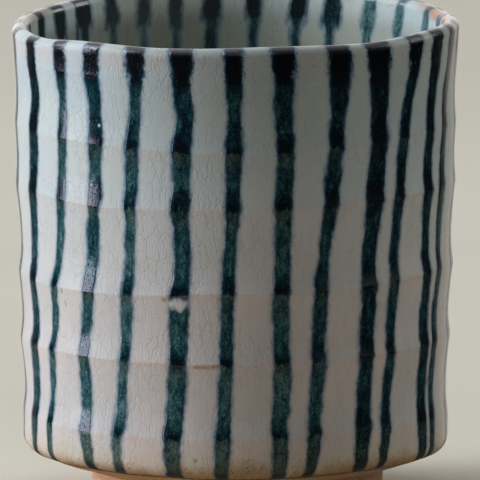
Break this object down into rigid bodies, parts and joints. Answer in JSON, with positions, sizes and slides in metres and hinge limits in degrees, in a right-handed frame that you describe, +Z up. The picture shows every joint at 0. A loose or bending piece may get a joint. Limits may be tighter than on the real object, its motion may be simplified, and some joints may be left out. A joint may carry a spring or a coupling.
{
  "type": "tea cup",
  "caption": "Handle-less round tea cup in wheel-thrown stoneware with throwing ridges, a foot ring, crackled pale glaze and dark brushed upright stripes.",
  "frame": {"origin": "centre of the foot ring's flat face on the table, at the bottom of the cup", "axes": "+Z up the axis of the cup, out of its mouth; -Y towards the front that the picture shows; +X to the right in the picture"},
  "size_m": [0.0802, 0.0802, 0.0885],
  "materials": {
    "brown_clay": "bare fired clay, matt and slightly gritty",
    "pink_clay": "bare fired clay, smooth and matt",
    "pale_glaze": "glossy, finely crackled, with small dark specks",
    "grey_glaze": "glossy, finely crackled",
    "dark_oxide": "dark blue-green to black brushed pigment melted into the glaze, glossy"
  },
  "bodies": {
    "root": {"clay_body": "brown_clay", "foot_ring": "pink_clay", "outer_glaze": "pale_glaze", "inner_glaze": "grey_glaze", "outer_stripes": "dark_oxide", "inner_stripes": "dark_oxide"}
  },
  "joints": []
}
